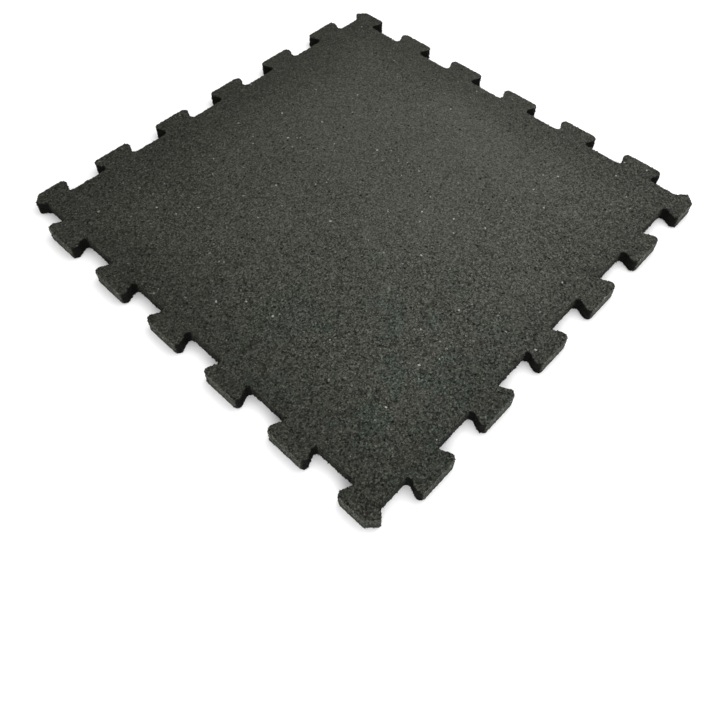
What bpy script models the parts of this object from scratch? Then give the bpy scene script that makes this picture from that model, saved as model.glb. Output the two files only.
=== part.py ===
"""Interlocking gym floor tile: one slab of pressed crumb rubber, cut on all four sides.

Metres, +Z up. The tile lies on z = 0 with its middle on the Z axis and its sides along
X and Y. Each side is the same line of dovetail tabs and notches, turned a quarter turn
from the last, so a tile fits its own copies on all four sides and at the corners.
"""

from math import acos, atan2, cos, radians, sin, tan

import bpy
from mathutils import Matrix, Vector

# Driving dimensions
MODULE = 0.6096          # from one tile's middle to the next tile's middle, 24 inches
THICKNESS = 0.0200
TABS_PER_SIDE = 6
PITCH = 0.1026           # from one tab to the next
TAB_DEPTH = 0.0250       # from a notch's floor to a tab's end
DOVETAIL = 0.0062        # how far a flank leans out between mid depth and the tab's end
TIP_RADIUS = 0.0064
ROOT_RADIUS = 0.0052
CORNER_RADIUS = 0.0030
ARC_STEP = radians(14)

# Distances that follow from them
HALF_MODULE = MODULE / 2
TIP_LINE = HALF_MODULE + TAB_DEPTH / 2
ROOT_LINE = HALF_MODULE - TAB_DEPTH / 2
FIRST_MIDDLE = -TABS_PER_SIDE / 2 * PITCH + PITCH / 4

RUBBER_COLOUR = (0.040, 0.041, 0.033, 1.0)
RUBBER_ROUGHNESS = 0.92


def clear_scene():
    for item in list(bpy.data.objects):
        bpy.data.objects.remove(item, do_unlink=True)


def side_corners():
    """Corners and radii of the far side (+Y), going clockwise from its left end."""
    corners = [
        ((-ROOT_LINE, ROOT_LINE), ROOT_RADIUS),
        ((-HALF_MODULE, HALF_MODULE), CORNER_RADIUS),
        ((-ROOT_LINE, TIP_LINE), CORNER_RADIUS),
    ]
    for tab in range(TABS_PER_SIDE):
        middle = FIRST_MIDDLE + tab * PITCH
        leading = middle - PITCH / 4
        trailing = middle + PITCH / 4
        if tab > 0:
            corners.append(((leading + DOVETAIL, ROOT_LINE), ROOT_RADIUS))
            corners.append(((leading - DOVETAIL, TIP_LINE), TIP_RADIUS))
        corners.append(((trailing + DOVETAIL, TIP_LINE), TIP_RADIUS))
        corners.append(((trailing - DOVETAIL, ROOT_LINE), ROOT_RADIUS))
    return corners


def all_corners():
    """The whole outline: the same side at each quarter turn, clockwise."""
    corners = []
    for quarter in range(4):
        turn = Matrix.Rotation(radians(-90 * quarter), 2)
        for place, radius in side_corners():
            corners.append((turn @ Vector(place), radius))
    return corners


def rounded(before, corner, after, radius):
    """The arc of this radius that replaces a corner, as points along it."""
    to_before = (before - corner).normalized()
    to_after = (after - corner).normalized()
    opening = acos(to_before.dot(to_after))
    reach = radius / tan(opening / 2)
    centre = corner + (to_before + to_after).normalized() * radius / sin(opening / 2)
    start = corner + to_before * reach - centre
    end = corner + to_after * reach - centre
    sweep = atan2(start.x * end.y - start.y * end.x, start.dot(end))
    steps = max(2, round(abs(sweep) / ARC_STEP))
    points = []
    for step in range(steps + 1):
        angle = sweep * step / steps
        across = Vector((-start.y, start.x))
        points.append(centre + start * cos(angle) + across * sin(angle))
    return points


def outline():
    corners = all_corners()
    points = []
    for index, (corner, radius) in enumerate(corners):
        before = corners[index - 1][0]
        after = corners[(index + 1) % len(corners)][0]
        points.extend(rounded(before, corner, after, radius))
    return points


def rubber_material():
    material = bpy.data.materials.new("crumb_rubber")
    material.use_nodes = True
    shader = material.node_tree.nodes["Principled BSDF"]
    shader.inputs["Base Color"].default_value = RUBBER_COLOUR
    shader.inputs["Roughness"].default_value = RUBBER_ROUGHNESS
    shader.inputs["Metallic"].default_value = 0.0
    return material


def make_tile(collection):
    points = outline()
    curve = bpy.data.curves.new("rubber_tile", "CURVE")
    curve.dimensions = "2D"
    curve.fill_mode = "BOTH"
    curve.extrude = THICKNESS / 2
    spline = curve.splines.new("POLY")
    spline.points.add(len(points) - 1)
    for slot, point in zip(spline.points, points):
        slot.co = (point.x, point.y, 0.0, 1.0)
    spline.use_cyclic_u = True
    curve.materials.append(rubber_material())
    tile = bpy.data.objects.new("rubber_tile", curve)
    tile.location = (0.0, 0.0, THICKNESS / 2)
    collection.objects.link(tile)


def main():
    clear_scene()
    collection = bpy.data.collections.new("interlocking_floor_tile")
    bpy.context.scene.collection.children.link(collection)
    make_tile(collection)


main()
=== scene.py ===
"""Looks of an interlocking gym floor tile of pressed crumb rubber, laid out as an add-on.

Metres, +Z up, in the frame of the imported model: the tile lies on z = 0, its middle on the
Z axis. One slab replaces the plain solid: its cut line comes from that solid, its faces get
the relief of pressed crumbs, and loose-edged crumbs are scattered over them.
"""

from math import ceil, cos, radians, sin

import bmesh
import bpy
import numpy as np
from bpy.props import FloatProperty, FloatVectorProperty, IntProperty, PointerProperty
from mathutils import Euler, Matrix, Vector
from mathutils.geometry import delaunay_2d_cdt


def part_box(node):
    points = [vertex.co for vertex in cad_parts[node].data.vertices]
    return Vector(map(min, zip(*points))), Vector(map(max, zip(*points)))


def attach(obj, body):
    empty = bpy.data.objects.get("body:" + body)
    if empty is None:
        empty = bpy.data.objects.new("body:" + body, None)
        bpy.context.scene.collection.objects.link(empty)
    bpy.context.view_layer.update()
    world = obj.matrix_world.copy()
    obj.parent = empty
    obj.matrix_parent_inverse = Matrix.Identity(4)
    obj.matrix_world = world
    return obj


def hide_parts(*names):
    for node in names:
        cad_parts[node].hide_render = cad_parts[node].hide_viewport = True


bl_info = {
    "name": "Interlocking floor tile",
    "version": (1, 0, 0),
    "blender": (4, 5, 0),
    "location": "3D View > Sidebar > Floor Tile",
    "description": "Presses, cuts and finishes one interlocking crumb rubber floor tile",
    "category": "Object",
}

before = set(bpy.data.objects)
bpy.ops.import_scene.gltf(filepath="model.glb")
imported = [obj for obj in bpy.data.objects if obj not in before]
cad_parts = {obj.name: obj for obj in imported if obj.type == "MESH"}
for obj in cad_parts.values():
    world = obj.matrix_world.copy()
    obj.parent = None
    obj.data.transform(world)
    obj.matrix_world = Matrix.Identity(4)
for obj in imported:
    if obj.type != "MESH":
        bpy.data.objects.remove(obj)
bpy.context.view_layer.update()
SOLID = "rubber_tile"
BODY = "root"
LOWEST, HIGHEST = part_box(SOLID)

RUBBER_SPECULAR = 0.07

# Smallest and largest crumb, as shares of a middling one's length, width and thickness
SMALLEST_CRUMB = (0.55, 0.45, 0.7)
LARGEST_CRUMB = (1.35, 1.1, 1.3)

# How far a crumb's corners are moved, as a share of its width, and less so in height
CORNER_SHIFT = 0.28
FLATTENED = (1.0, 1.0, 0.4)

# Zones of the slab's surface, as its faces are marked
WEAR_FACE = 0
CUT_WALL = 1
UNDERSIDE = 2
CUT_RIM = 3


class TileSettings(bpy.types.PropertyGroup):
    """Sizes of the pressed slab."""

    wear_spacing: FloatProperty(
        name="Wear face spacing",
        description="Distance between the relief's points on the wear face",
        default=0.00275, min=0.001, precision=5, unit="LENGTH", subtype="DISTANCE",
    )
    underside_spacing: FloatProperty(
        name="Underside spacing",
        description="Distance between the relief's points on the underside",
        default=0.0046, min=0.001, precision=5, unit="LENGTH", subtype="DISTANCE",
    )
    wall_spacing: FloatProperty(
        name="Wall spacing",
        description="Distance between the relief's points on the cut walls",
        default=0.0026, min=0.001, precision=5, unit="LENGTH", subtype="DISTANCE",
    )
    rim: FloatProperty(
        name="Rim",
        description="Height of the torn rim at the wall's upper and lower edge",
        default=0.0009, min=0.0, precision=5, unit="LENGTH", subtype="DISTANCE",
    )
    tab_depth: FloatProperty(
        name="Tab depth",
        description="From a notch's floor to a tab's end",
        default=0.025, min=0.0, precision=4, unit="LENGTH", subtype="DISTANCE",
    )
    clump_size: FloatProperty(
        name="Clump size",
        description="Width of a clump of crumbs in the relief",
        default=0.0052, min=0.001, precision=5, unit="LENGTH", subtype="DISTANCE",
    )
    clump_depth: FloatProperty(
        name="Clump depth",
        description="How far the lowest clumps lie under the highest",
        default=0.00018, min=0.0, precision=5, unit="LENGTH", subtype="DISTANCE",
    )
    grain_depth: FloatProperty(
        name="Grain depth",
        description="How far a single crumb lies under its neighbours",
        default=0.00026, min=0.0, precision=5, unit="LENGTH", subtype="DISTANCE",
    )
    tear_depth: FloatProperty(
        name="Tear depth",
        description="How far the cut's rim is torn back",
        default=0.0008, min=0.0, precision=5, unit="LENGTH", subtype="DISTANCE",
    )
    seed: IntProperty(
        name="Seed", description="Picks the pattern of the relief", default=7, min=0,
    )


class CrumbSettings(bpy.types.PropertyGroup):
    """Sizes and numbers of the separate crumbs."""

    size: FloatProperty(
        name="Crumb size",
        description="Width of a middling crumb",
        default=0.0020, min=0.0002, precision=5, unit="LENGTH", subtype="DISTANCE",
    )
    wear_density: FloatProperty(
        name="Wear face crumbs",
        description="Crumbs that stand out of a square metre of the wear face",
        default=40000.0, min=0.0,
    )
    underside_density: FloatProperty(
        name="Underside crumbs",
        description="Crumbs that stand out of a square metre of the underside",
        default=24000.0, min=0.0,
    )
    wall_density: FloatProperty(
        name="Wall crumbs",
        description="Crumbs that stand out of a square metre of the cut walls",
        default=90000.0, min=0.0,
    )
    rim_density: FloatProperty(
        name="Rim crumbs",
        description="Crumbs that stand out of a square metre of the torn rims",
        default=400000.0, min=0.0,
    )
    pale_density: FloatProperty(
        name="Pale crumbs",
        description="Pale crumbs in a square metre of the wear face",
        default=600.0, min=0.0,
    )
    pale_wall_density: FloatProperty(
        name="Pale wall crumbs",
        description="Pale crumbs in a square metre of the cut walls",
        default=5000.0, min=0.0,
    )
    flatness: FloatProperty(
        name="Flatness", description="Thickness of a crumb, as a share of its width",
        default=0.42, min=0.0, max=1.0, subtype="FACTOR",
    )
    tilt: FloatProperty(
        name="Tilt", description="How far a crumb may lean out of the surface",
        default=radians(14), min=0.0, subtype="ANGLE",
    )
    sink: FloatProperty(
        name="Sink", description="How far a crumb's middle lies under the surface",
        default=0.00022, min=0.0, precision=5, unit="LENGTH", subtype="DISTANCE",
    )
    seed: IntProperty(
        name="Seed", description="Picks where the crumbs lie", default=11, min=0,
    )


class FinishSettings(bpy.types.PropertyGroup):
    """Colours and pattern of the crumb rubber, with its painted light and shade."""

    dark: FloatVectorProperty(
        name="Dark crumbs", description="Colour of the darkest crumbs",
        default=(0.0095, 0.0098, 0.0078), min=0.0, max=1.0, subtype="COLOR",
    )
    light: FloatVectorProperty(
        name="Light crumbs", description="Colour of the lightest crumbs",
        default=(0.1447, 0.1492, 0.1226), min=0.0, max=1.0, subtype="COLOR",
    )
    tint: FloatVectorProperty(
        name="Tint", description="What some patches of the rubber are tinted with",
        default=(0.80, 1.0, 0.98), min=0.0, max=1.0, subtype="COLOR",
    )
    tint_share: FloatProperty(
        name="Tint share", description="How strong the tint of those patches is",
        default=0.7, min=0.0, max=1.0, subtype="FACTOR",
    )
    tint_centre: FloatVectorProperty(
        name="Tint centre", description="Middle of the part of the tile with tinted patches",
        default=(-0.20, -0.20, 0.0), size=3, unit="LENGTH", subtype="TRANSLATION",
    )
    tint_reach: FloatProperty(
        name="Tint reach", description="How far from that middle the tinted patches go",
        default=0.26, min=0.0, unit="LENGTH", subtype="DISTANCE",
    )
    tint_patch: FloatProperty(
        name="Tint patch", description="Width of a tinted patch",
        default=0.045, min=0.001, unit="LENGTH", subtype="DISTANCE",
    )
    # Painted shade: the colour of the crevices between the crumbs and of the pits
    crevice: FloatVectorProperty(
        name="Crevices", description="Colour between the crumbs and in the pits",
        default=(0.0022, 0.0022, 0.0020), min=0.0, max=1.0, subtype="COLOR",
    )
    pale: FloatVectorProperty(
        name="Pale crumbs", description="Colour of the few pale crumbs",
        default=(0.42, 0.43, 0.39), min=0.0, max=1.0, subtype="COLOR",
    )
    grain: FloatProperty(
        name="Grain", description="Width of a crumb in the rubber's pattern",
        default=0.0018, min=0.0002, precision=5, unit="LENGTH", subtype="DISTANCE",
    )
    tone: FloatProperty(
        name="Tone", description="Mean tone of the pressed crumbs, from dark 0 to light 1",
        default=0.37, min=0.0, max=1.0, subtype="FACTOR",
    )
    crumb_contrast: FloatProperty(
        name="Crumb contrast", description="How much a crumb's tone differs from the next",
        default=0.63, min=0.0, max=2.0,
    )
    fine_contrast: FloatProperty(
        name="Fine contrast", description="How much the tone differs within a crumb",
        default=0.28, min=0.0, max=2.0,
    )
    clump_contrast: FloatProperty(
        name="Clump contrast", description="How much a clump's tone differs from the next",
        default=0.06, min=0.0, max=2.0,
    )
    loose_contrast: FloatProperty(
        name="Loose crumb contrast",
        description="How much the tone differs between crumbs that stand out",
        default=0.70, min=0.0, max=2.0,
    )
    drift_contrast: FloatProperty(
        name="Drift contrast", description="How much the tone drifts over the tile",
        default=0.2, min=0.0, max=2.0,
    )
    drift_size: FloatProperty(
        name="Drift size", description="Width of the tile's lighter and darker parts",
        default=0.14, min=0.01, unit="LENGTH", subtype="DISTANCE",
    )
    rubbed_centre: FloatVectorProperty(
        name="Rubbed centre", description="Middle of the part that is rubbed smooth",
        default=(0.19, 0.11, 0.0), size=3, unit="LENGTH", subtype="TRANSLATION",
    )
    rubbed_inner: FloatProperty(
        name="Rubbed inner radius", description="Radius within which it is smoothest",
        default=0.05, min=0.0, unit="LENGTH", subtype="DISTANCE",
    )
    rubbed_outer: FloatProperty(
        name="Rubbed outer radius", description="Radius past which it isn't rubbed",
        default=0.50, min=0.01, unit="LENGTH", subtype="DISTANCE",
    )
    rubbed_share: FloatProperty(
        name="Rubbed share", description="How much of the crumbs' contrast is rubbed off",
        default=0.42, min=0.0, max=1.0, subtype="FACTOR",
    )
    pit_spacing: FloatProperty(
        name="Pit spacing", description="Width of the cells that may hold a pit",
        default=0.0075, min=0.001, precision=5, unit="LENGTH", subtype="DISTANCE",
    )
    pit_share: FloatProperty(
        name="Pit share", description="Part of those cells that hold a pit",
        default=0.65, min=0.0, max=1.0, subtype="FACTOR",
    )
    pit_size: FloatProperty(
        name="Pit size", description="Width of the largest pits",
        default=0.0042, min=0.0, precision=5, unit="LENGTH", subtype="DISTANCE",
    )
    # Painted shade: dark on the tabs' flanks and inner corners, on the notches' floors and
    # towards each wall's lower edge
    flank_shade: FloatProperty(
        name="Dark flanks", description="How dark the tabs' flanks are, from 0 to 1",
        default=0.97, min=0.0, max=1.0, subtype="FACTOR",
    )
    notch_shade: FloatProperty(
        name="Dark notches", description="How dark the notches' floors are, from 0 to 1",
        default=0.14, min=0.0, max=1.0, subtype="FACTOR",
    )
    foot_shade: FloatProperty(
        name="Dark foot", description="How dark a wall's lower edge is, from 0 to 1",
        default=0.50, min=0.0, max=1.0, subtype="FACTOR",
    )
    # Painted light: the cut walls are made lighter towards the tabs' ends
    tab_end_light: FloatProperty(
        name="Light tab ends", description="How much lighter the tabs' ends are",
        default=1.05, min=0.0, max=3.0,
    )
    # Painted light: a pool of light on the wear face, lighter round its middle and darker
    # beyond it
    light_pool_centre: FloatVectorProperty(
        name="Dust centre", description="Middle of the lighter, dusty part of the tile",
        default=(0.25, -0.26, 0.0), size=3, unit="LENGTH", subtype="TRANSLATION",
    )
    light_pool_inner: FloatProperty(
        name="Dust inner radius", description="The dust is even within this radius",
        default=0.24, min=0.0, unit="LENGTH", subtype="DISTANCE",
    )
    light_pool_outer: FloatProperty(
        name="Dust outer radius", description="The dust has gone at this radius",
        default=0.68, min=0.0, unit="LENGTH", subtype="DISTANCE",
    )
    beyond_pool_tint: FloatVectorProperty(
        name="Clean tint", description="Colour that multiplies the rubber where it is clean",
        default=(0.655, 0.655, 0.640), size=3, min=0.0, max=1.0, subtype="COLOR",
    )
    light_pool_tint: FloatVectorProperty(
        name="Dusty tint", description="Colour that multiplies the rubber where it is dusty",
        default=(0.958, 0.952, 0.974), size=3, min=0.0, max=1.0, subtype="COLOR",
    )
    edge_centre: FloatVectorProperty(
        name="Edge centre", description="Middle of the part inside the darker edges",
        default=(0.0, -0.015, 0.0), size=3, unit="LENGTH", subtype="TRANSLATION",
    )
    edge_inner: FloatProperty(
        name="Edge inner", description="Distance from the middle where the edges darken",
        default=0.20, min=0.0, unit="LENGTH", subtype="DISTANCE",
    )
    edge_outer: FloatProperty(
        name="Edge outer", description="Distance from the middle where they are darkest",
        default=0.305, min=0.0, unit="LENGTH", subtype="DISTANCE",
    )
    edge_share: FloatProperty(
        name="Edge share", description="How much darker the rubber is along the edges",
        default=0.27, min=0.0, max=1.0, subtype="FACTOR",
    )


class StageSettings(bpy.types.PropertyGroup):
    """The floor, the lights and the camera."""

    floor_colour: FloatVectorProperty(
        name="Floor", description="Colour of the floor",
        default=(0.90, 0.90, 0.90), min=0.0, max=1.0, subtype="COLOR",
    )
    floor_size: FloatProperty(
        name="Floor size", description="Length of the floor's sides",
        default=40.0, min=1.0, unit="LENGTH", subtype="DISTANCE",
    )
    floor_gap: FloatProperty(
        name="Floor gap", description="How far the floor lies under the lowest crumbs",
        default=0.0003, min=0.0, precision=5, unit="LENGTH", subtype="DISTANCE",
    )
    key_power: FloatProperty(
        name="Key light", description="Power of the large light over the tile",
        default=10.0, min=0.0, unit="POWER",
    )
    key_place: FloatVectorProperty(
        name="Key light's place", description="Middle of the large light over the tile",
        default=(0.42, -0.22, 1.25), size=3, unit="LENGTH", subtype="TRANSLATION",
    )
    key_aim: FloatVectorProperty(
        name="Key light's aim", description="What the large light points at",
        default=(0.10, -0.06, 0.0), size=3, unit="LENGTH", subtype="TRANSLATION",
    )
    key_size: FloatProperty(
        name="Key light's size", description="Length of its sides",
        default=1.1, min=0.01, unit="LENGTH", subtype="DISTANCE",
    )
    fill_power: FloatProperty(
        name="Fill light", description="Power of the light on the near walls",
        default=9.0, min=0.0, unit="POWER",
    )
    fill_place: FloatVectorProperty(
        name="Fill light's place", description="Middle of the light on the near walls",
        default=(-1.1, -1.0, 0.55), size=3, unit="LENGTH", subtype="TRANSLATION",
    )
    fill_aim: FloatVectorProperty(
        name="Fill light's aim", description="What the light on the near walls points at",
        default=(0.0, 0.0, 0.0), size=3, unit="LENGTH", subtype="TRANSLATION",
    )
    fill_size: FloatProperty(
        name="Fill light's size", description="Length of its sides",
        default=0.9, min=0.01, unit="LENGTH", subtype="DISTANCE",
    )
    sky_strength: FloatProperty(
        name="Sky", description="Strength of the even light from all round",
        default=1.0, min=0.0,
    )
    focal_length: FloatProperty(
        name="Focal length", description="Focal length of the lens, in millimetres",
        default=38.8, min=1.0,
    )
    camera_distance: FloatProperty(
        name="Camera distance", description="Across the floor, from the tile's middle",
        default=0.7143, min=0.1, unit="LENGTH", subtype="DISTANCE",
    )
    camera_height: FloatProperty(
        name="Camera height", description="From the floor to the camera",
        default=0.757, min=0.1, unit="LENGTH", subtype="DISTANCE",
    )
    camera_bearing: FloatProperty(
        name="Camera bearing", description="Where the camera stands round the tile",
        default=radians(-48.08), subtype="ANGLE",
    )
    camera_yaw: FloatProperty(
        name="Camera yaw", description="Direction of the lens, clockwise from +Y",
        default=radians(47.585), subtype="ANGLE",
    )
    camera_pitch: FloatProperty(
        name="Camera pitch", description="How far the lens points down",
        default=radians(50.427), subtype="ANGLE",
    )
    camera_roll: FloatProperty(
        name="Camera roll", description="Turn of the camera about its lens",
        default=radians(1.035), subtype="ANGLE",
    )
    lens_shift: FloatProperty(
        name="Lens shift", description="Upward shift of the view, in image heights",
        default=-0.1389,
    )


class Field:
    """A number that varies over a surface: a socket that Python's operators work on."""

    def __init__(self, graph, socket):
        self.graph = graph
        self.socket = socket

    def __add__(self, other):
        return self.graph.maths("ADD", self, other)

    def __radd__(self, other):
        return self.graph.maths("ADD", other, self)

    def __sub__(self, other):
        return self.graph.maths("SUBTRACT", self, other)

    def __rsub__(self, other):
        return self.graph.maths("SUBTRACT", other, self)

    def __mul__(self, other):
        return self.graph.maths("MULTIPLY", self, other)

    def __rmul__(self, other):
        return self.graph.maths("MULTIPLY", other, self)

    def __rtruediv__(self, other):
        return self.graph.maths("DIVIDE", other, self)

    def smooth(self, start, end):
        """0 before start and 1 after end, with a soft passage between."""
        return self.graph.add(
            "ShaderNodeMapRange",
            {"interpolation_type": "SMOOTHSTEP"},
            {"Value": self, "From Min": start, "From Max": end},
        )


class Graph:
    """A node tree, with one method that adds any node."""

    def __init__(self, tree):
        self.tree = tree
        self.tree.nodes.clear()

    def add(self, kind, settings=None, sockets=None, output=0):
        """Adds a node: its settings first, then the values or links of its sockets."""
        node = self.tree.nodes.new(kind)
        for name, value in (settings or {}).items():
            setattr(node, name, value)
        for name, value in (sockets or {}).items():
            source = getattr(value, "socket", value)
            if isinstance(source, bpy.types.NodeSocket):
                self.tree.links.new(source, node.inputs[name])
            else:
                node.inputs[name].default_value = source
        return Field(self, node.outputs[output]) if node.outputs else node

    def maths(self, operation, *terms):
        return self.add("ShaderNodeMath", {"operation": operation}, dict(enumerate(terms)))

    def mix(self, factor, first, second, blend="MIX"):
        """A colour between two others."""
        return self.add(
            "ShaderNodeMix", {"data_type": "RGBA", "blend_type": blend},
            {0: factor, 6: first, 7: second}, output=2,
        )

    def vector(self, operation, *terms, output=0):
        return self.add(
            "ShaderNodeVectorMath", {"operation": operation},
            dict(enumerate(terms)), output=output,
        )

    def scaled(self, vector, factor):
        """A vector or a colour times a number."""
        return self.add(
            "ShaderNodeVectorMath", {"operation": "SCALE"}, {0: vector, "Scale": factor},
        )


def solid_colour(colour):
    return (*colour, 1.0)


# The cut line and the slab


def cut_line():
    """The outline of the solid's upper face, anticlockwise, as 2D points."""
    same_place = 0.00001
    faces_up, stands = 0.9, 0.5
    solid = bmesh.new()
    solid.from_mesh(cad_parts[SOLID].data)
    bmesh.ops.remove_doubles(solid, verts=solid.verts, dist=same_place)
    solid.normal_update()
    following = {}
    for face in solid.faces:
        if face.normal.z > faces_up:
            for loop in face.loops:
                if any(other.normal.z < stands for other in loop.edge.link_faces):
                    following[loop.vert.index] = loop.link_loop_next.vert.index
    places = {vert.index: vert.co.xy.copy() for vert in solid.verts}
    solid.free()
    first = next(iter(following))
    line = [places[first]]
    index = following[first]
    while index != first:
        line.append(places[index])
        index = following[index]
    return line


def spaced(line, spacing):
    """The same closed line with its long runs divided."""
    points = []
    for index, start in enumerate(line):
        end = line[(index + 1) % len(line)]
        parts = max(1, round((end - start).length / spacing))
        for part in range(parts):
            points.append(start.lerp(end, part / parts))
    return np.array(points)


def outward_of(points):
    """The unit normal of a closed anticlockwise line at each of its points."""
    along = np.roll(points, -1, axis=0) - np.roll(points, 1, axis=0)
    normal = np.stack([along[:, 1], -along[:, 0]], axis=1)
    return normal / np.linalg.norm(normal, axis=1, keepdims=True)


def inside(points, line):
    """Which points lie inside a closed line."""
    found = np.zeros(len(points), bool)
    x, y = points[:, 0], points[:, 1]
    for start, end in zip(line, np.roll(line, -1, axis=0)):
        crosses = (start[1] > y) != (end[1] > y)
        rise = end[1] - start[1]
        if rise != 0.0:
            at = start[0] + (y - start[1]) * (end[0] - start[0]) / rise
            found ^= crosses & (x < at)
    return found


def nearest(points, line):
    """Distance from each point to the closest point of a line."""
    best = np.full(len(points), np.inf)
    for place in line:
        best = np.minimum(best, np.hypot(*(points - place).T))
    return best


def lattice(line, spacing, band, dice):
    """Points inside the line at an even spacing, each nudged at random."""
    jitter = 0.34
    clearance = 0.62
    half = float(np.abs(line).max())
    rise = spacing * cos(radians(30))
    rows = ceil(half / rise)
    columns = ceil(half / spacing)
    row, column = np.meshgrid(np.arange(-rows, rows + 1), np.arange(-columns, columns + 1))
    x = (column + 0.5 * (row % 2)) * spacing
    points = np.stack([x, row * rise], axis=2).reshape(-1, 2)
    points = points + dice.uniform(-jitter, jitter, points.shape) * spacing
    reach = np.abs(points).max(axis=1)
    core = points[reach < band]
    fringe = points[(reach >= band) & (reach <= half)]
    fringe = fringe[inside(fringe, line)]
    fringe = fringe[nearest(fringe, line) > clearance * spacing]
    return np.concatenate([core, fringe])


def filled(line, inner):
    """Triangles that fill the closed line through the inner points, anticlockwise.

    Their corners count the line's points first and the inner points after them.
    """
    same_place = 1e-7
    size = len(line)
    places = np.concatenate([line, inner])
    edges = [(index, (index + 1) % size) for index in range(size)]
    points = [Vector(place) for place in places]
    _, _, faces, origins, _, _ = delaunay_2d_cdt(points, edges, [], 0, same_place, True)
    source = [origin[0] for origin in origins]
    triangles = np.array([[source[corner] for corner in face] for face in faces])
    a, b, c = (places[triangles[:, corner]] for corner in range(3))
    turn = (b - a)[:, 0] * (c - a)[:, 1] - (b - a)[:, 1] * (c - a)[:, 0]
    triangles[turn < 0] = triangles[turn < 0][:, ::-1]
    doubtful = (triangles < size).all(axis=1)
    kept = ~doubtful
    kept[doubtful] = inside(places[triangles[doubtful]].mean(axis=1), line)
    return triangles[kept]


def flank_share(points, outward, root_line):
    """1 on the flanks and inner corners of the tabs, 0 where a wall faces straight out.

    The slanting end of a corner tab counts as facing straight out.
    """
    margin = 0.0006
    corner_margin = 0.0008
    straight_out = 0.97
    passage = 0.22
    facing = np.zeros(len(points))
    for axis in (0, 1):
        side = np.sign(points[:, axis])
        on_side = np.abs(points[:, axis]) > root_line - margin
        facing = np.where(on_side, np.maximum(facing, outward[:, axis] * side), facing)
    share = np.clip((straight_out - facing) / passage, 0.0, 1.0)
    corner_end = HIGHEST.x + root_line - corner_margin
    share[np.abs(points).sum(axis=1) > corner_end] = 0.0
    return share * share * (3 - 2 * share)


def tab_reach(points, root_line, tab_depth):
    """0 at the floors of the notches and 1 at the ends of the tabs."""
    return np.clip((np.abs(points).max(axis=1) - root_line) / tab_depth, 0.0, 1.0)


def wall_heights(settings):
    """Heights of the wall's rows, from the wear face down to the underside."""
    low, high = LOWEST.z, HIGHEST.z
    inner = high - low - 2 * settings.rim
    steps = round(inner / settings.wall_spacing)
    rows = [high - settings.rim - inner * step / steps for step in range(steps + 1)]
    return [high, *rows, low]


def wall_triangles(rows, size):
    """Triangles between rows of points, each second row half a step along."""
    triangles = []
    index = np.arange(size)
    after = (index + 1) % size
    for upper, lower in zip(rows, rows[1:]):
        top, low = upper["first"], lower["first"]
        if upper["shift"] < lower["shift"]:
            pieces = [(top + index, low + index, top + after),
                      (top + after, low + index, low + after)]
        elif upper["shift"] > lower["shift"]:
            pieces = [(top + index, low + after, top + after),
                      (top + index, low + index, low + after)]
        else:
            pieces = [(top + index, low + index, low + after),
                      (top + index, low + after, top + after)]
        triangles.extend(np.stack(piece, axis=1) for piece in pieces)
    return triangles


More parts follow.
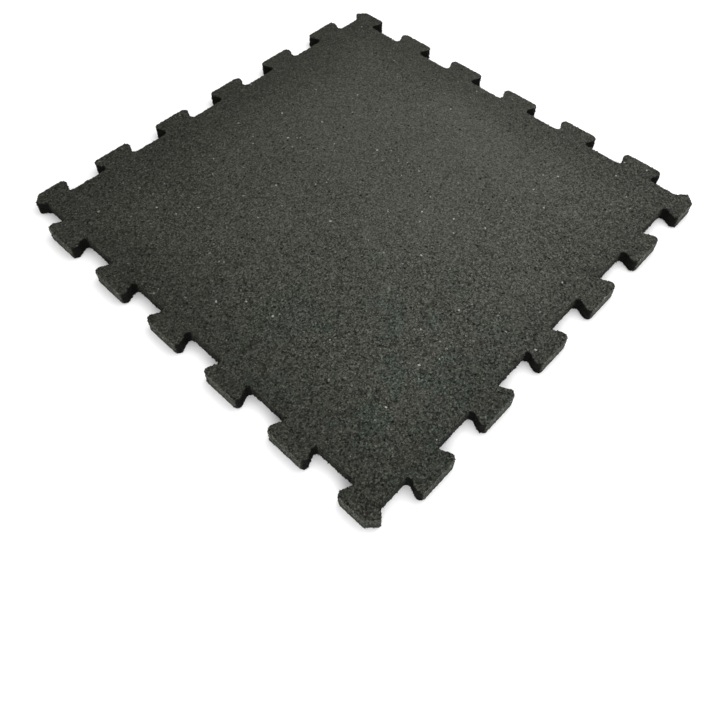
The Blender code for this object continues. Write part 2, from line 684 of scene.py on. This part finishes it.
def slab_mesh(settings, finish):
    """The slab before its relief: one closed mesh of even triangles, its faces marked."""
    dice = np.random.default_rng(settings.seed)
    line = spaced(cut_line(), settings.wall_spacing)
    size = len(line)
    root_line = HIGHEST.x - settings.tab_depth
    band = root_line - settings.wear_spacing
    heights = wall_heights(settings)
    level_jitter = 0.22

    places = []
    directions = []
    shades = []
    rims = []
    end_light_shares = []
    rows = []
    count = 0
    for number, height in enumerate(heights):
        shift = 0.5 * (number % 2) if 0 < number < len(heights) - 1 else 0.0
        ring = line + (np.roll(line, -1, axis=0) - line) * shift
        normal = outward_of(ring)
        at_rim = height in (HIGHEST.z, LOWEST.z)
        lift = (1.0 if height == HIGHEST.z else -1.0) if at_rim else 0.0
        nudge = 0.0 if at_rim else level_jitter * settings.wall_spacing
        level = np.full(size, height) + dice.uniform(-nudge, nudge, size)
        places.append(np.column_stack([ring, level]))
        directions.append(np.column_stack([normal, np.full(size, lift)]))
        reach = tab_reach(ring, root_line, settings.tab_depth)
        depth = (HIGHEST.z - height) / (HIGHEST.z - LOWEST.z)
        # Painted shade, kept in the shade attribute: on the flanks, on the notches' floors and
        # towards the walls' lower edges
        bright = 1 - flank_share(ring, normal, root_line)
        bright *= (1 - finish.notch_shade * (1 - reach)) * (1 - finish.foot_shade * depth)
        shades.append(np.zeros(size) if at_rim else 1 - bright)
        rims.append(np.full(size, 1.0 if at_rim else 0.0))
        # The cut attribute carries painted light: 0 at the notches' floors, 1 at the tabs'
        # ends
        end_light_shares.append(np.zeros(size) if at_rim else reach)
        rows.append({"first": count, "shift": shift})
        count += size

    triangles = wall_triangles(rows, size)
    zones = [np.full(size, CUT_WALL) for _ in triangles]
    # Each wall row has two lots of triangles, and the outer rows are the rims
    for number in (0, 1, -2, -1):
        zones[number][:] = CUT_RIM

    for height, spacing, way, zone in (
        (HIGHEST.z, settings.wear_spacing, 1.0, WEAR_FACE),
        (LOWEST.z, settings.underside_spacing, -1.0, UNDERSIDE),
    ):
        inner = lattice(line, spacing, band, dice)
        faces = filled(line, inner)
        rim_first = 0 if zone == WEAR_FACE else rows[-1]["first"]
        faces = np.where(faces < size, faces + rim_first, faces - size + count)
        triangles.append(faces if way > 0 else faces[:, ::-1])
        zones.append(np.full(len(faces), zone))
        places.append(np.column_stack([inner, np.full(len(inner), height)]))
        directions.append(np.tile([0.0, 0.0, way], (len(inner), 1)))
        shades.append(np.zeros(len(inner)))
        rims.append(np.zeros(len(inner)))
        end_light_shares.append(np.zeros(len(inner)))
        count += len(inner)

    mesh = bpy.data.meshes.new("pressed_slab")
    mesh.from_pydata(np.concatenate(places).tolist(), [], np.concatenate(triangles).tolist())
    for name, values in (("shade", shades), ("rim", rims), ("cut", end_light_shares)):
        layer = mesh.attributes.new(name, "FLOAT", "POINT")
        layer.data.foreach_set("value", np.concatenate(values).astype(np.float32))
    layer = mesh.attributes.new("outward", "FLOAT_VECTOR", "POINT")
    layer.data.foreach_set("vector", np.concatenate(directions).astype(np.float32).ravel())
    layer = mesh.attributes.new("zone", "INT", "FACE")
    layer.data.foreach_set("value", np.concatenate(zones).astype(np.int32))
    mesh.update()
    return mesh


# Geometry Nodes


def new_tree(name, inputs):
    """A Geometry Nodes tree with these inputs, its graph and its input sockets by name."""
    tree = bpy.data.node_groups.new(name, "GeometryNodeTree")
    tree.interface.new_socket("Geometry", in_out="INPUT", socket_type="NodeSocketGeometry")
    tree.interface.new_socket("Geometry", in_out="OUTPUT", socket_type="NodeSocketGeometry")
    for label, kind in inputs:
        tree.interface.new_socket(label, in_out="INPUT", socket_type=kind)
    graph = Graph(tree)
    entry = tree.nodes.new("NodeGroupInput")
    sockets = {out.name: Field(graph, out) for out in entry.outputs if out.name}
    return tree, graph, sockets


def named(graph, name, kind="FLOAT"):
    return graph.add("GeometryNodeInputNamedAttribute", {"data_type": kind}, {"Name": name})


def random_number(graph, seed, low=0.0, high=1.0):
    return graph.add(
        "FunctionNodeRandomValue", {"data_type": "FLOAT"},
        {"Min": low, "Max": high, "Seed": seed}, output=1,
    )


def random_vector(graph, seed, low, high):
    return graph.add(
        "FunctionNodeRandomValue", {"data_type": "FLOAT_VECTOR"},
        {0: low, 1: high, "Seed": seed},
    )


def relief_tree():
    """Moves each point of the slab inwards: clumps, single crumbs and the torn rim."""
    tree, graph, given = new_tree("pressed_crumb_relief", [
        ("Clump Size", "NodeSocketFloat"),
        ("Clump Depth", "NodeSocketFloat"),
        ("Grain Depth", "NodeSocketFloat"),
        ("Tear Depth", "NodeSocketFloat"),
        ("Seed", "NodeSocketInt"),
        ("Material", "NodeSocketMaterial"),
    ])
    place = graph.add("GeometryNodeInputPosition")
    clump = graph.add(
        "ShaderNodeTexVoronoi", {"voronoi_dimensions": "3D"},
        {"Vector": place, "Scale": 1 / given["Clump Size"]}, output=1,
    )
    clump_level = graph.add("ShaderNodeSeparateXYZ", {}, {0: clump})
    draw = random_number(graph, given["Seed"])
    rim = named(graph, "rim")
    relief = clump_level * given["Clump Depth"] + draw * given["Grain Depth"]
    least_tear = 0.35
    tear = rim * (least_tear + (1 - least_tear) * draw) * given["Tear Depth"]
    outward = named(graph, "outward", "FLOAT_VECTOR")
    offset = graph.scaled(outward, (relief + tear) * -1.0)
    moved = graph.add(
        "GeometryNodeSetPosition", {},
        {"Geometry": given["Geometry"], "Offset": offset},
    )
    solid = graph.add("GeometryNodeRealizeInstances", {}, {"Geometry": moved})
    finished = graph.add(
        "GeometryNodeSetMaterial", {},
        {"Geometry": solid, "Material": given["Material"]},
    )
    graph.add("NodeGroupOutput", {}, {"Geometry": finished})
    return tree


def crumb_tree():
    """Crumbs scattered over one zone of the slab: flattened, uneven blocks sunk into it."""
    tree, graph, given = new_tree("crumb_scatter", [
        ("Zone", "NodeSocketInt"),
        ("Density", "NodeSocketFloat"),
        ("Crumb Size", "NodeSocketFloat"),
        ("Flatness", "NodeSocketFloat"),
        ("Tilt", "NodeSocketFloat"),
        ("Sink", "NodeSocketFloat"),
        ("Lowest", "NodeSocketVector"),
        ("Highest", "NodeSocketVector"),
        ("Seed", "NodeSocketInt"),
        ("Material", "NodeSocketMaterial"),
    ])
    zone = named(graph, "zone", "INT")
    chosen = graph.add(
        "FunctionNodeCompare", {"data_type": "INT", "operation": "EQUAL"},
        {2: zone, 3: given["Zone"]},
    )
    points = graph.add(
        "GeometryNodeDistributePointsOnFaces", {"distribute_method": "RANDOM"},
        {"Mesh": given["Geometry"], "Selection": chosen,
         "Density": given["Density"], "Seed": given["Seed"]},
    )
    scatter = points.socket.node
    spin = random_number(graph, given["Seed"], 0.0, radians(360))
    lean = random_vector(graph, given["Seed"] + 1, (-1.0, -1.0, 0.0), (1.0, 1.0, 0.0))
    tilted = graph.scaled(lean, given["Tilt"])
    turned = graph.vector(
        "ADD", tilted, graph.add("ShaderNodeCombineXYZ", {}, {"Z": spin})
    )
    turn = graph.add("FunctionNodeEulerToRotation", {}, {0: turned})
    rotation = graph.add(
        "FunctionNodeRotateRotation", {"rotation_space": "LOCAL"},
        {0: scatter.outputs["Rotation"], 1: turn},
    )
    spread = random_vector(graph, given["Seed"] + 2, SMALLEST_CRUMB, LARGEST_CRUMB)
    shape = graph.add(
        "ShaderNodeCombineXYZ", {},
        {"X": given["Crumb Size"], "Y": given["Crumb Size"],
         "Z": given["Crumb Size"] * given["Flatness"]},
    )
    scale = graph.vector("MULTIPLY", spread, shape)
    drop = graph.scaled(scatter.outputs["Normal"], given["Sink"] * -1.0)
    sunk = graph.add("GeometryNodeSetPosition", {}, {"Geometry": points, "Offset": drop})
    tone = random_number(graph, given["Seed"] + 3)
    toned = graph.add(
        "GeometryNodeStoreNamedAttribute", {"data_type": "FLOAT", "domain": "POINT"},
        {"Geometry": sunk, "Name": "crumb_tone", "Value": tone},
    )
    block = graph.add("GeometryNodeMeshCube", {}, {"Size": (1.0, 1.0, 1.0)})
    crumbs = graph.add(
        "GeometryNodeInstanceOnPoints", {},
        {"Points": toned, "Instance": block, "Rotation": rotation, "Scale": scale},
    )
    solid = graph.add("GeometryNodeRealizeInstances", {}, {"Geometry": crumbs})
    place = graph.add("GeometryNodeInputPosition")
    draw = random_vector(
        graph, given["Seed"] + 4, (-CORNER_SHIFT,) * 3, (CORNER_SHIFT,) * 3
    )
    shift = graph.vector("MULTIPLY", graph.scaled(draw, given["Crumb Size"]), FLATTENED)
    uneven = graph.vector("ADD", place, shift)
    kept = graph.vector("MAXIMUM", graph.vector("MINIMUM", uneven, given["Highest"]),
                        given["Lowest"])
    shaped = graph.add(
        "GeometryNodeSetPosition", {}, {"Geometry": solid, "Position": kept},
    )
    finished = graph.add(
        "GeometryNodeSetMaterial", {},
        {"Geometry": shaped, "Material": given["Material"]},
    )
    graph.add("NodeGroupOutput", {}, {"Geometry": finished})
    return tree


def worked(name, mesh, tree, values):
    """A plain mesh object: what the tree makes of the mesh with these input values."""
    source = bpy.data.objects.new(name, mesh)
    bpy.context.scene.collection.objects.link(source)
    modifier = source.modifiers.new(tree.name, "NODES")
    modifier.node_group = tree
    for item in tree.interface.items_tree:
        if item.in_out == "INPUT" and item.name in values:
            modifier[item.identifier] = values[item.name]
    bpy.context.view_layer.update()
    depsgraph = bpy.context.evaluated_depsgraph_get()
    plain = bpy.data.meshes.new_from_object(source.evaluated_get(depsgraph))
    source.modifiers.remove(modifier)
    source.data = plain
    plain.name = name
    return source


# Materials


def new_material(name):
    """A material without nodes yet, and its graph."""
    material = bpy.data.materials.new(name)
    material.use_nodes = True
    return material, Graph(material.node_tree)


def cells(graph, place, width, feature="F1", output=0):
    """Cells of about this width: a distance, or with output 1 a colour for each cell."""
    return graph.add(
        "ShaderNodeTexVoronoi", {"voronoi_dimensions": "3D", "feature": feature},
        {"Vector": place, "Scale": 1 / width}, output=output,
    )


def chance(graph, place, width):
    """One random number for each cell of this width."""
    return graph.add("ShaderNodeSeparateColor", {}, {0: cells(graph, place, width, output=1)})


def noise(graph, place, width, detail=2.0):
    return graph.add(
        "ShaderNodeTexNoise", {"noise_dimensions": "3D"},
        {"Vector": place, "Scale": 1 / width, "Detail": detail},
    )


def attribute(graph, name):
    return graph.add("ShaderNodeAttribute", {"attribute_name": name}, output=2)


def around(graph, place, centre, inner, outer):
    """1 within the inner radius of an upright line through the centre, 0 past the outer."""
    flat = graph.vector("MULTIPLY", place, (1.0, 1.0, 0.0))
    reach = graph.vector("DISTANCE", flat, tuple(centre), output=1)
    return 1 - reach.smooth(inner, outer)


def edge(graph, place, centre, inner, outer):
    """0 within a square round the centre and 1 outside a larger one."""
    offset = graph.vector("ABSOLUTE", graph.vector("SUBTRACT", place, tuple(centre)))
    apart = graph.add("ShaderNodeSeparateXYZ", {}, {0: offset})
    across, along = apart.socket.node.outputs[:2]
    return graph.maths("MAXIMUM", across, along).smooth(inner, outer)


def unrubbed(graph, place):
    """Share of the crumbs' contrast that is left: less where the tile is rubbed smooth."""
    finish = bpy.context.scene.tile_finish
    rubbed = around(
        graph, place, finish.rubbed_centre, finish.rubbed_inner, finish.rubbed_outer
    )
    return 1 - rubbed * finish.rubbed_share


def pits(graph, place):
    """Up to 1 in the scattered pits where a crumb has come out, 0 elsewhere; the pits sink in
    the bump and get painted shade.
    """
    floor_radius, mouth_radius = 0.2, 0.5
    finish = bpy.context.scene.tile_finish
    depth = chance(graph, place, finish.pit_spacing).smooth(1 - finish.pit_share, 1.0)
    reach = cells(graph, place, finish.pit_spacing) * finish.pit_spacing
    mouth = 1 - reach.smooth(finish.pit_size * floor_radius, finish.pit_size * mouth_radius)
    return mouth * depth


def rubber_colour(graph, place, tone, light, hollow_shade):
    """Colour of the rubber: its tone from dark to light, tinted, with a painted pool of light,
    painted light on the tabs' ends, and painted shade on the flanks, notch floors and lower
    wall edges and in hollows.
    """
    patch_detail, patch_border = 3.0, (0.46, 0.58)
    finish = bpy.context.scene.tile_finish
    colour = graph.mix(tone, solid_colour(finish.dark), solid_colour(light))
    tinted = around(graph, place, finish.tint_centre, 0.0, finish.tint_reach)
    patch = noise(graph, place, finish.tint_patch, patch_detail).smooth(*patch_border)
    patch = patch * tinted * finish.tint_share
    colour = graph.mix(patch, colour, solid_colour(finish.tint), "MULTIPLY")
    # The cut attribute: where painted light lightens the tabs' ends
    cut = attribute(graph, "cut")
    shaded = attribute(graph, "shade")
    # Painted light: lighter in the pool round its middle, darker beyond it
    light_pool = around(graph, place, finish.light_pool_centre, finish.light_pool_inner, finish.light_pool_outer)
    pool_lighting = graph.mix(light_pool, solid_colour(finish.beyond_pool_tint), solid_colour(finish.light_pool_tint))
    colour = graph.vector("MULTIPLY", colour, pool_lighting)
    dim = edge(graph, place, finish.edge_centre, finish.edge_inner, finish.edge_outer)
    # Darker towards the edges, and painted light on the tabs' ends
    level = (1 - dim * finish.edge_share) * (1 + cut * finish.tab_end_light)
    colour = graph.scaled(colour, level)
    # Painted shade: on the flanks, notch floors and lower wall edges, and in the crevices and
    # pits
    darkness = 1 - (1 - hollow_shade) * (1 - shaded * finish.flank_shade)
    return graph.mix(darkness, colour, solid_colour(finish.crevice))


def rubber_shader(graph, colour, roughness, bump):
    shader = graph.add(
        "ShaderNodeBsdfPrincipled", {},
        {"Base Color": colour, "Roughness": roughness, "Metallic": 0.0,
         "Specular IOR Level": RUBBER_SPECULAR, "Normal": bump},
    )
    graph.add("ShaderNodeOutputMaterial", {}, {"Surface": shader})


def pressed_rubber():
    """Pressed crumb rubber: crumbs of several greys, with painted shade in the crevices and
    pits.
    """
    fine_share = 0.55
    # From a crumb's edge inwards, as shares of its width
    crevice_reach, rounding = (0.03, 0.20), (0.0, 0.3)
    crevice_shade = 0.5
    # Shares of the bump's height
    crumb_rise, fine_rise, middle_rise, pit_drop = 0.5, 0.25, 0.35, 1.2
    roughness, roughness_drop = 0.95, 0.22
    finish = bpy.context.scene.tile_finish
    sizes = bpy.context.scene.tile_sizes
    material, graph = new_material("pressed_crumb_rubber")
    place = graph.add("ShaderNodeTexCoord", output=3)

    grain = finish.grain
    crumb = chance(graph, place, grain)
    fine = chance(graph, place, grain * fine_share)
    clump = chance(graph, place, sizes.clump_size)
    between = cells(graph, place, grain, "DISTANCE_TO_EDGE")
    crevice = 1 - between.smooth(*crevice_reach)
    pit = pits(graph, place)
    drift = noise(graph, place, finish.drift_size)

    left = unrubbed(graph, place)
    varied = (crumb - 0.5) * finish.crumb_contrast + (fine - 0.5) * finish.fine_contrast
    varied = varied + (0.5 - clump) * finish.clump_contrast
    tone = varied * left + (drift - 0.5) * finish.drift_contrast + finish.tone
    # Painted shade in the crevices and pits
    hollow_shade = 1 - (1 - crevice * left * crevice_shade) * (1 - pit)
    colour = rubber_colour(graph, place, tone, finish.light, hollow_shade)
    height = crumb * crumb_rise + fine * fine_rise
    height = height + between.smooth(*rounding) * middle_rise
    height = height * left - pit * pit_drop
    bump = graph.add(
        "ShaderNodeBump", {}, {"Strength": 0.8, "Distance": 0.0005, "Height": height},
    )
    rubber_shader(graph, colour, roughness - crumb * roughness_drop, bump)
    return material


def loose_crumb(name, light):
    """Rubber of single crumbs: one grey for each crumb, with a little grain."""
    speckle_size, speckle_contrast = 0.0008, 0.25
    middle_tone = 0.5
    roughness, roughness_drop = 0.95, 0.2
    finish = bpy.context.scene.tile_finish
    material, graph = new_material(name)
    place = graph.add("ShaderNodeTexCoord", output=3)
    own = attribute(graph, "crumb_tone")
    speckle = noise(graph, place, speckle_size)
    varied = (own - 0.5) * finish.loose_contrast + (speckle - 0.5) * speckle_contrast
    tone = varied * unrubbed(graph, place) + middle_tone
    # Painted shade in the pits
    colour = rubber_colour(graph, place, tone, light, pits(graph, place))
    bump = graph.add(
        "ShaderNodeBump", {}, {"Strength": 0.4, "Distance": 0.0002, "Height": speckle},
    )
    rubber_shader(graph, colour, roughness - own * roughness_drop, bump)
    return material


def floor_paint():
    """Pale, even studio floor."""
    material, graph = new_material("studio_floor")
    shader = graph.add(
        "ShaderNodeBsdfPrincipled", {},
        {"Base Color": solid_colour(bpy.context.scene.tile_stage.floor_colour),
         "Roughness": 0.9, "Specular IOR Level": 0.2},
    )
    graph.add("ShaderNodeOutputMaterial", {}, {"Surface": shader})
    return material


# Operators


class TILE_OT_slab(bpy.types.Operator):
    """Press and cut the slab, with the relief of its crumbs"""

    bl_idname = "floor_tile.slab"
    bl_label = "Rubber slab"

    def execute(self, context):
        sizes = context.scene.tile_sizes
        plain = slab_mesh(sizes, context.scene.tile_finish)
        slab = worked("rubber_slab", plain, relief_tree(), {
            "Clump Size": sizes.clump_size,
            "Clump Depth": sizes.clump_depth,
            "Grain Depth": sizes.grain_depth,
            "Tear Depth": sizes.tear_depth,
            "Seed": sizes.seed,
            "Material": pressed_rubber(),
        })
        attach(slab, BODY)
        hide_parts(SOLID)
        return {"FINISHED"}


class TILE_OT_crumbs(bpy.types.Operator):
    """Scatter the separate crumbs over the slab"""

    bl_idname = "floor_tile.crumbs"
    bl_label = "Crumbs"

    def execute(self, context):
        seed_step = 10
        slab = bpy.data.objects["rubber_slab"]
        crumbs = context.scene.tile_crumbs
        finish = context.scene.tile_finish
        dark = loose_crumb("loose_crumb", finish.light)
        pale = loose_crumb("pale_crumb", finish.pale)
        tree = crumb_tree()
        # Name, zone, crumbs in a square metre, size against a middling crumb, material
        lots = (
            ("wear_face_crumbs", WEAR_FACE, crumbs.wear_density, 1.0, dark),
            ("underside_crumbs", UNDERSIDE, crumbs.underside_density, 1.0, dark),
            ("cut_wall_crumbs", CUT_WALL, crumbs.wall_density, 1.0, dark),
            ("torn_rim_crumbs", CUT_RIM, crumbs.rim_density, 0.7, dark),
            ("pale_crumbs", WEAR_FACE, crumbs.pale_density, 1.15, pale),
            ("pale_wall_crumbs", CUT_WALL, crumbs.pale_wall_density, 0.7, pale),
        )
        for number, (name, zone, density, scale, material) in enumerate(lots):
            piece = worked(name, slab.data.copy(), tree, {
                "Zone": zone,
                "Density": density,
                "Crumb Size": crumbs.size * scale,
                "Flatness": crumbs.flatness,
                "Tilt": crumbs.tilt,
                "Sink": crumbs.sink,
                "Lowest": LOWEST,
                "Highest": HIGHEST,
                "Seed": crumbs.seed + seed_step * number,
                "Material": material,
            })
            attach(piece, BODY)
        return {"FINISHED"}


class TILE_OT_stage(bpy.types.Operator):
    """Lay the floor, and set the lights and the camera"""

    bl_idname = "floor_tile.stage"
    bl_label = "Stage"

    def execute(self, context):
        stage = context.scene.tile_stage
        self.lay_floor(stage)
        self.hang_sky(context, stage.sky_strength)
        self.hang_light(
            context, "key_light",
            stage.key_place, stage.key_aim, stage.key_size, stage.key_power,
        )
        self.hang_light(
            context, "fill_light",
            stage.fill_place, stage.fill_aim, stage.fill_size, stage.fill_power,
        )
        self.set_camera(context, stage)
        return {"FINISHED"}

    def lay_floor(self, stage):
        shape = bmesh.new()
        bmesh.ops.create_grid(shape, x_segments=8, y_segments=8, size=stage.floor_size / 2)
        mesh = bpy.data.meshes.new("studio_floor")
        shape.to_mesh(mesh)
        shape.free()
        mesh.materials.append(floor_paint())
        floor = bpy.data.objects.new("studio_floor", mesh)
        floor.location.z = LOWEST.z - stage.floor_gap
        bpy.context.scene.collection.objects.link(floor)

    def hang_sky(self, context, strength):
        world = bpy.data.worlds.new("studio")
        world.use_nodes = True
        background = world.node_tree.nodes["Background"]
        background.inputs["Color"].default_value = (1.0, 1.0, 1.0, 1.0)
        background.inputs["Strength"].default_value = strength
        context.scene.world = world
        context.scene.view_settings.view_transform = "Standard"

    def hang_light(self, context, name, place, aim, size, power):
        lamp = bpy.data.lights.new(name, "AREA")
        lamp.shape = "SQUARE"
        lamp.size = size
        lamp.energy = power
        light = bpy.data.objects.new(name, lamp)
        light.location = place
        direction = Vector(aim) - Vector(place)
        light.rotation_euler = direction.to_track_quat("-Z", "Y").to_euler()
        light.visible_camera = False
        context.scene.collection.objects.link(light)

    def set_camera(self, context, stage):
        lens = bpy.data.cameras.new("camera")
        lens.sensor_width = 36.0
        lens.lens = stage.focal_length
        lens.shift_y = stage.lens_shift
        lens.clip_start = 0.01
        lens.clip_end = 50.0
        camera = bpy.data.objects.new("camera", lens)
        camera.location = (
            stage.camera_distance * sin(stage.camera_bearing),
            -stage.camera_distance * cos(stage.camera_bearing),
            stage.camera_height,
        )
        level = Euler((radians(90) - stage.camera_pitch, 0.0, -stage.camera_yaw), "XYZ")
        roll = Matrix.Rotation(stage.camera_roll, 4, "Z")
        turn = level.to_matrix().to_4x4() @ roll
        camera.rotation_euler = turn.to_euler()
        context.scene.collection.objects.link(camera)
        context.scene.camera = camera


class TILE_PT_panel(bpy.types.Panel):
    """Steps and sizes of the floor tile"""

    bl_label = "Floor Tile"
    bl_idname = "TILE_PT_panel"
    bl_space_type = "VIEW_3D"
    bl_region_type = "UI"
    bl_category = "Floor Tile"

    def draw(self, context):
        for step in STEPS:
            self.layout.operator(step.bl_idname)
        for group in ("tile_sizes", "tile_crumbs", "tile_finish", "tile_stage"):
            settings = getattr(context.scene, group)
            column = self.layout.column()
            for name in settings.bl_rna.properties.keys():
                if name not in ("rna_type", "name"):
                    column.prop(settings, name)


STEPS = (TILE_OT_slab, TILE_OT_crumbs, TILE_OT_stage)
GROUPS = {
    "tile_sizes": TileSettings,
    "tile_crumbs": CrumbSettings,
    "tile_finish": FinishSettings,
    "tile_stage": StageSettings,
}


def register():
    for kind in (*GROUPS.values(), *STEPS, TILE_PT_panel):
        bpy.utils.register_class(kind)
    for name, group in GROUPS.items():
        setattr(bpy.types.Scene, name, PointerProperty(type=group))


def unregister():
    for name in GROUPS:
        delattr(bpy.types.Scene, name)
    for kind in reversed((*GROUPS.values(), *STEPS, TILE_PT_panel)):
        bpy.utils.unregister_class(kind)


def main():
    register()
    bpy.ops.floor_tile.slab()
    bpy.ops.floor_tile.crumbs()
    bpy.ops.floor_tile.stage()
    bpy.context.view_layer.update()


if __name__ == "__main__":
    main()
